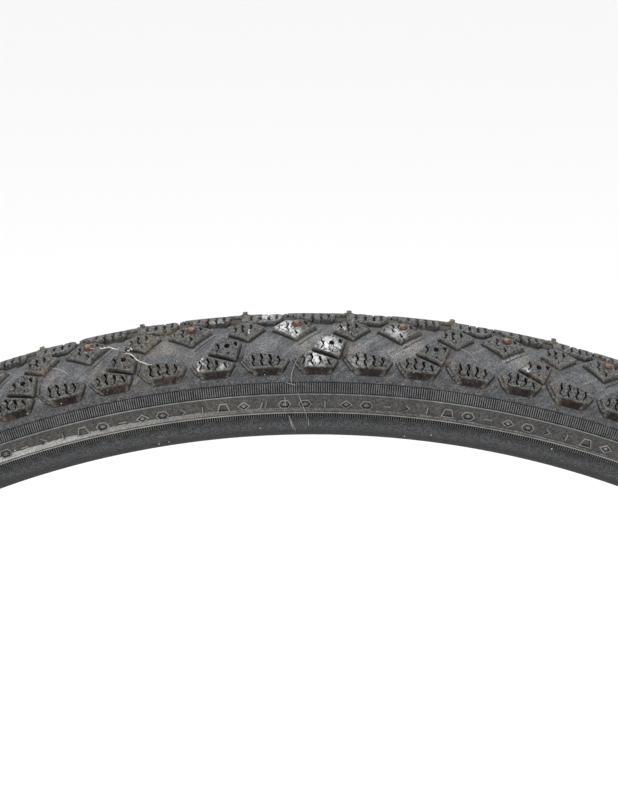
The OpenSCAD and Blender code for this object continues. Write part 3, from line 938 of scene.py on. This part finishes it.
def raised_marks(side, word):
    """The marks round one sidewall, in their order, as one piece."""
    places, faces, crests, total = [], [], [], 0
    rows = BANDS["mark_band"]
    psi_of = [row[2] for row in rows]
    r_of = [math.hypot(row[0] - SECTION_RHO, row[1]) for row in rows]
    for i in range(MARKS_ROUND):
        theta = (i + MARK_START) * TURN / MARKS_ROUND
        for points, closed in SHAPES[ORDER[i % len(ORDER)]]:
            pts, quads, wear_and_highlight = stroke(points, closed)
            psi = MARK_PSI - np.degrees(pts[:, 1] / MARK_R)
            r = np.interp(psi, psi_of, r_of) + pts[:, 2]
            rho = SECTION_RHO + r * np.cos(np.radians(psi))
            a = r * np.sin(np.radians(psi))
            t = side * theta + side * pts[:, 0] / rho
            places.append(np.stack([rho * np.sin(t), -side * a, rho * np.cos(t)], -1) * MM)
            faces.append(quads + total)
            crests.append(wear_and_highlight)
            total += len(pts)
    crest_wear_and_highlight = np.concatenate(crests)
    # The marks carry the painted highlight on their lit edge and painted shade elsewhere, darkest at the foot
    looks = {"psi": np.full(total, 100.0), "crest_wear_and_highlight": crest_wear_and_highlight * MARK_HIGHLIGHT, "gap": MARK_SHADE - crest_wear_and_highlight * MARK_SHADE}
    obj = mesh_object(f"raised_marks_{word}", np.concatenate(places), np.concatenate(faces), SIDE, looks,
                      smooth=20)
    fit_to_tire(obj, f"sidewall_{word}")


for side, word in SIDES:
    raised_marks(side, word)

# ---- studs

# The share of the wear that goes up and down, the height that parts a pin's top from its shank, and
# how rusty the left row is beside the right one
WEAR_UPWARDS = 0.6
PIN_TOP_FROM = 23
FAR_RUST = 0.3


def lathe(profile, columns, jitter, seed):
    """A small turned piece with a worn, uneven surface: points (x, y, z) in mm, faces and rust."""
    angle = np.linspace(0, TURN, columns, endpoint=False)
    pts = np.array([[r * math.cos(a), r * math.sin(a), z] for r, z, _ in profile for a in angle])
    wear = np.random.default_rng(seed).normal(0, jitter, pts.shape)
    pts = pts + wear * np.array([1, 1, WEAR_UPWARDS])
    quads = [(i * columns + j, i * columns + (j + 1) % columns,
              (i + 1) * columns + (j + 1) % columns, (i + 1) * columns + j)
             for i in range(len(profile) - 1) for j in range(columns)]
    return pts, np.array(quads), np.repeat([row[2] for row in profile], columns)


def placed(s, u, pts):
    """Moves a small piece's points, whose z is outwards, to a place on the tread."""
    theta, psi = s / CROWN_R, u / TOP_R
    out = np.array([math.sin(theta) * math.cos(psi), -math.sin(psi), math.cos(theta) * math.cos(psi)])
    way = np.array([math.cos(theta), 0.0, -math.sin(theta)])
    across = np.cross(out, way)
    centre = SECTION_RHO * np.array([math.sin(theta), 0.0, math.cos(theta)])
    return (centre + pts[:, :1] * way + pts[:, 1:2] * across + pts[:, 2:3] * out) * MM


# Profiles as (radius, height, rust), from the bottom up. Heights are from the middle of the section
BODY = [(2.45, 19.0, 0.0), (2.45, 19.6, 0.0), (1.8, 19.9, 0.0), (1.85, 22.4, 0.0), (1.88, 22.98, 0.0),
        (1.66, 23.16, 0.2), (1.2, 23.1, 1.0), (0.98, 22.95, 1.0), (0.95, 22.6, 0.0)]
TIP = [(0.84, 20.8, 1.0), (0.88, 23.2, 1.0), (0.92, 23.66, 0.9), (0.9, 23.9, 0.4), (0.76, 24.06, 0.0),
       (0.4, 24.1, 0.0), (0.02, 24.08, 0.0)]


def build_studs(side, word):
    """One side's stud bodies and pins. The left row is half a repeat from the right one."""
    for label, profile, columns, jitter, material, slot in (
            ("stud_bodies", BODY, 20, 0.1, RUST, "stud_steel"),
            ("stud_pins", TIP, 14, 0.08, PINS[word], "pin_carbide")):
        places, faces, rust = [], [], []
        for i in range(REPEATS):
            s = (i + (0 if side > 0 else 0.5)) * PERIOD
            pts, quads, rusty = lathe(profile, columns, jitter, 100 + i * 2 + (side > 0))
            if profile is TIP:
                pts[:, 2] += rng.uniform(-0.12, 0.1) * (pts[:, 2] > PIN_TOP_FROM)
            faces.append(quads + len(pts) * i)
            places.append(placed(s, side * STUD_U, pts))
            rust.append(rusty * (1.0 if side > 0 else FAR_RUST))
        obj = mesh_object(f"{label}_seen_{word}", np.concatenate(places), np.concatenate(faces), material,
                          {"rust": np.concatenate(rust)}, smooth=45)
        fit_to_tire(obj, f"{label}_{word}")


for side, word in SIDES:
    build_studs(side, word)

# ---- hairs and thread stuck to the rubber

# Paths as (s, u, h); past the shoulder u goes on down the sidewall
HAIRS = [
    [(0.3, 22.0, 3.2), (-0.8, 24.2, 1.4), (-1.9, 27.0, 0.9), (-2.4, 29.6, 0.4), (-2.0, 31.8, 0.2)],
    [(-4.6, 30.9, 0.3), (-2.6, 31.5, 0.5), (-0.2, 32.3, 0.3)],
    [(0.3, 35.8, -0.1), (0.9, 38.0, -0.2), (1.9, 41.2, -0.3), (2.6, 43.6, 0.0), (3.1, 45.0, -0.2),
     (3.2, 48.0, -0.2)],
    [(-4.9, 36.0, 0.1), (-4.7, 38.6, -0.3), (-4.6, 41.6, -0.3)],
    [(-3.6, 44.9, 0.0), (-3.2, 48.5, -0.1), (-1.9, 54.2, 0.6)],
    [(-3.4, 45.2, 0.2), (-2.3, 50.0, 0.4), (-0.9, 54.6, 1.0)],
    [(3.7, 46.3, -0.3), (4.0, 52.2, 0.4)],
    [(-88.0, 12.0, 2.4), (-84.0, 14.0, 2.0), (-81.0, 17.5, 1.6)],
    [(56.0, 13.0, 1.6), (61.0, 15.0, 2.0), (63.0, 18.5, 2.6)],
]
THREADS = [
    [(-75.0, 6.6, 3.2), (-72.5, 8.2, 3.1), (-70.5, 8.0, 2.7), (-68.0, 9.7, 3.2), (-66.0, 9.4, 3.3),
     (-64.2, 10.9, 2.9), (-62.4, 10.8, 2.4)],
    [(-61.2, 14.0, 3.3), (-59.4, 14.5, 3.4), (-57.9, 15.6, 3.4), (-56.6, 17.6, 3.1), (-54.8, 18.4, 2.2),
     (-52.6, 20.1, 2.6), (-51.0, 20.2, 3.2)],
    [(-59.8, 12.9, 3.3), (-58.9, 13.8, 3.7), (-58.3, 12.6, 4.0), (-57.7, 13.6, 3.6)],
    [(-16.5, 9.4, 3.2), (-16.9, 10.9, 3.2), (-16.3, 12.4, 2.6)],
]
HAIR_R = 0.1
THREAD_R = 0.17
HAIR_WOBBLE = 0.015
THREAD_WOBBLE = 0.09
TUBE_SIDES = 6
STEPS_A_POINT = 10
SOFTEN = 9
LEAN = [0.3, 0.5, 0.8]


def tube(name, paths, radius, material, wobble, uneven):
    """Thin tubes along smooth paths on the tread, thinning at both ends. Uneven ones vary in between."""
    places, faces, total = [], [], 0
    for path in paths:
        p = np.array(path, float)
        t = np.linspace(0, len(p) - 1, (len(p) - 1) * STEPS_A_POINT + 1)
        bent = [np.pad(np.interp(t, np.arange(len(p)), p[:, i]), SOFTEN // 2, mode="edge") for i in range(3)]
        smooth = np.array([np.convolve(v, np.ones(SOFTEN) / SOFTEN, "valid") for v in bent]).T
        smooth[:, :2] += rng.normal(0, wobble, (len(smooth), 2))
        line = on_tread(*smooth.T)
        ahead = np.gradient(line, axis=0)
        ahead /= np.linalg.norm(ahead, axis=1)[:, None]
        out = np.cross(ahead, LEAN)
        out /= np.linalg.norm(out, axis=1)[:, None]
        across = np.cross(ahead, out)
        thin = radius * MM * np.clip(4 * np.minimum(t, t[-1] - t) / t[-1] + 0.25, 0, 1)
        bulges = np.interp(t, np.arange(len(p) * 2) / 2, rng.uniform(0.55, 1.25, len(p) * 2))
        if uneven:
            thin = thin * bulges
        n = len(line)
        for k in range(TUBE_SIDES):
            angle = TURN * k / TUBE_SIDES
            places.append(line + (out * math.cos(angle) + across * math.sin(angle)) * thin[:, None])
            a, b = total + k * n, total + (k + 1) % TUBE_SIDES * n
            faces += [(a + i, a + i + 1, b + i + 1, b + i) for i in range(n - 1)]
        total += n * TUBE_SIDES
    obj = mesh_object(name, np.concatenate(places), np.array(faces), material, {}, smooth=40)
    fit_to_tire(obj)


tube("stuck_hairs", HAIRS, HAIR_R, HAIR, HAIR_WOBBLE, uneven=False)
tube("stuck_threads", THREADS, THREAD_R, THREAD, THREAD_WOBBLE, uneven=True)

# ---- nodes that stay as the CAD has them

for node, material in (("carcass_ply", CLOTH), ("crown_ply", CLOTH), ("puncture_belt", CLOTH),
                       ("bead_wires_left", PINS["left"]), ("bead_wires_right", PINS["left"]),
                       ("bead_wrap_left", BEAD), ("bead_wrap_right", BEAD)):
    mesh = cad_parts[node].data
    mesh.materials.clear()
    mesh.materials.append(material)

# ---- stage

# The floor is a little below the tire, and the soft light is white all round. Lengths are in metres
FLOOR_SIZE = 60
FLOOR_Y = 20
FLOOR_Z = -0.3525
FLOOR_GREY = 0.93
AIM = (0, 0, 0.33)


def pale_floor():
    bpy.ops.mesh.primitive_plane_add(size=FLOOR_SIZE, location=(0, FLOOR_Y, FLOOR_Z))
    floor = bpy.context.object
    floor.name = "floor"
    paint = bpy.data.materials.new("floor")
    paint.use_nodes = True
    surface = paint.node_tree.nodes["Principled BSDF"]
    surface.inputs["Base Color"].default_value = (FLOOR_GREY, FLOOR_GREY, FLOOR_GREY, 1)
    surface.inputs["Roughness"].default_value = 0.9
    floor.data.materials.append(paint)


def white_world():
    world = bpy.data.worlds.new("studio")
    bpy.context.scene.world = world
    world.use_nodes = True
    background = world.node_tree.nodes["Background"]
    background.inputs["Color"].default_value = (1.0, 1.0, 1.0, 1)
    background.inputs["Strength"].default_value = 1.0


def softbox(name, place, size, watts):
    """A soft lamp that looks at the top of the tire."""
    data = bpy.data.lights.new(name, "AREA")
    data.shape = "RECTANGLE"
    data.size, data.size_y = size
    data.energy = watts
    lamp = bpy.data.objects.new(name, data)
    lamp.location = place
    lamp.rotation_euler = (Vector(AIM) - Vector(place)).to_track_quat("-Z", "Y").to_euler()
    bpy.context.scene.collection.objects.link(lamp)


pale_floor()
white_world()
softbox("key", (-0.9, -1.2, 1.9), (1.4, 1.0), 18)
softbox("top", (0.5, 0.5, 2.2), (1.8, 1.4), 14)

# The camera looks down at the crown from DISTANCE, and its aim is a little below and beside the
# crown, in millimetres. ROLL turns it round the wheel's axis, which sets where the first stud falls.
LENS = 102.8
SENSOR = 36
FAR_CLIP = 100
DISTANCE = 0.8
ELEVATION = 15.0
AIM_DOWN = 29.7
AIM_SIDE = -1.4
ROLL = 0.92


def add_camera():
    data = bpy.data.cameras.new("camera")
    data.lens = LENS
    data.sensor_width = SENSOR
    data.clip_end = FAR_CLIP
    camera = bpy.data.objects.new("camera", data)
    bpy.context.scene.collection.objects.link(camera)
    bpy.context.scene.camera = camera
    e = math.radians(ELEVATION)
    look = Vector((0, math.cos(e), -math.sin(e)))
    up = Vector((0, math.sin(e), math.cos(e)))
    crown = Vector((0, 0, CROWN_R * MM))
    place = crown - look * DISTANCE
    aim = crown + up * (-AIM_DOWN * MM) + Vector((AIM_SIDE * MM, 0, 0))
    turn = (aim - place).to_track_quat("-Z", "Y").to_matrix().to_4x4()
    roll = Matrix.Rotation(math.radians(ROLL), 4, "Y")
    camera.matrix_world = roll @ Matrix.Translation(place) @ turn


add_camera()
bpy.context.scene.view_settings.view_transform = "Standard"
